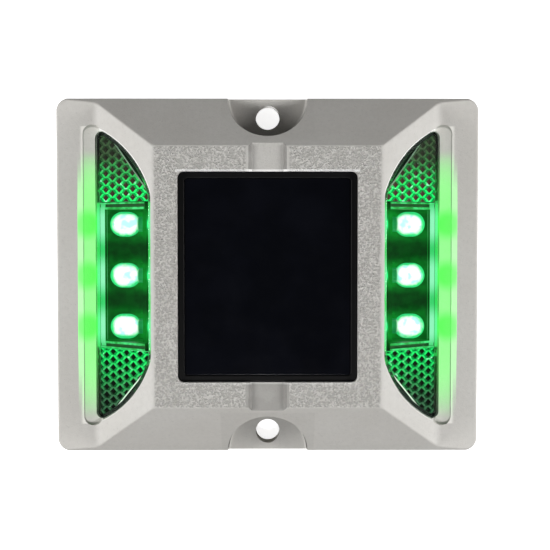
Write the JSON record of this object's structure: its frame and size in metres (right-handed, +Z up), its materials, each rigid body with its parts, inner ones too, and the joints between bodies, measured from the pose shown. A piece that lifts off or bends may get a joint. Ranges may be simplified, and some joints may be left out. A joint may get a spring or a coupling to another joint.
{
  "type": "raised pavement marker",
  "caption": "Low rectangular road stud with sloped sides, a solar panel on top, green lamps behind a sloped lens on two opposite faces, and a bolt pocket on the other two.",
  "frame": {"origin": "centre of the underside, on the road surface", "axes": "+X across the two lamp faces, +Y along the line of the two bolt holes, +Z up from the road"},
  "size_m": [0.123, 0.103, 0.023],
  "materials": {
    "cast_housing": "matt light grey powder coat on a die casting",
    "base_plate": "moulded, matt, dark grey",
    "seal_rubber": "matt black",
    "steel": "zinc plated",
    "panel_seal": "glossy black-brown sealant",
    "panel_cover": "clear, gloss",
    "solar_cell": "near-black blue silicon",
    "tinned_copper": "tinned",
    "backing_board": "black laminate",
    "circuit_board": "green solder mask",
    "chip_plastic": "black moulding",
    "ferrite": "dark grey ferrite",
    "copper": "enamelled copper",
    "capacitor_can": "bare can",
    "chip_parts": "ceramic chips",
    "battery_sleeve": "green heat-shrink sleeve",
    "cradle_plastic": "moulded, matt",
    "foam": "closed-cell foam",
    "wire_red": "red insulation",
    "wire_black": "black insulation",
    "wire_green": "green insulation",
    "switch_plastic": "black moulding",
    "button_rubber": "red, matt",
    "lens_clear": "clear, gloss",
    "reflector": "moulded prisms, green-tinted",
    "holder_plastic": "dark green, semi-gloss",
    "led_green": "clear epoxy, lit green"
  },
  "bodies": {
    "stud": {"housing": "cast_housing", "base_plate": "base_plate", "base_gasket": "seal_rubber", "base_screws": "steel", "panel_seal": "panel_seal", "solar_cover": "panel_cover", "solar_cells": "solar_cell", "solar_ribbons": "tinned_copper", "solar_backing": "backing_board", "control_board": "circuit_board", "board_screws": "steel", "controller_chip": "chip_plastic", "storage_inductor": "ferrite", "inductor_winding": "copper", "board_capacitor": "capacitor_can", "diodes": "chip_plastic", "chip_parts": "chip_parts", "battery_west": "battery_sleeve", "battery_east": "battery_sleeve", "battery_tabs": "tinned_copper", "battery_cradle": "cradle_plastic", "battery_pad": "foam", "panel_wire_red": "wire_red", "panel_wire_black": "wire_black", "battery_wire_red": "wire_red", "battery_wire_black": "wire_black", "led_wires_east": "wire_green", "led_wires_west": "wire_green", "switch_seal": "seal_rubber", "switch_body": "switch_plastic", "button_spring": "steel", "lens_east": "lens_clear", "lens_seal_east": "seal_rubber", "reflector_north_east": "reflector", "reflector_south_east": "reflector", "led_holder_east": "holder_plastic", "led_legs_east": "tinned_copper", "led_board_east": "circuit_board", "led_south_east": "led_green", "led_middle_east": "led_green", "led_north_east": "led_green", "lens_west": "lens_clear", "lens_seal_west": "seal_rubber", "reflector_north_west": "reflector", "reflector_south_west": "reflector", "led_holder_west": "holder_plastic", "led_legs_west": "tinned_copper", "led_board_west": "circuit_board", "led_south_west": "led_green", "led_middle_west": "led_green", "led_north_west": "led_green"},
    "button": {"push_button": "button_rubber"}
  },
  "joints": [
    {"name": "button_press", "type": "slide", "parent": "stud", "child": "button", "axis": [0, 0, 1], "range_m": [0, 0.0015], "stiffness_N_per_m": 600, "springref_m": -0.0008, "deforming": ["button_spring"]}
  ]
}
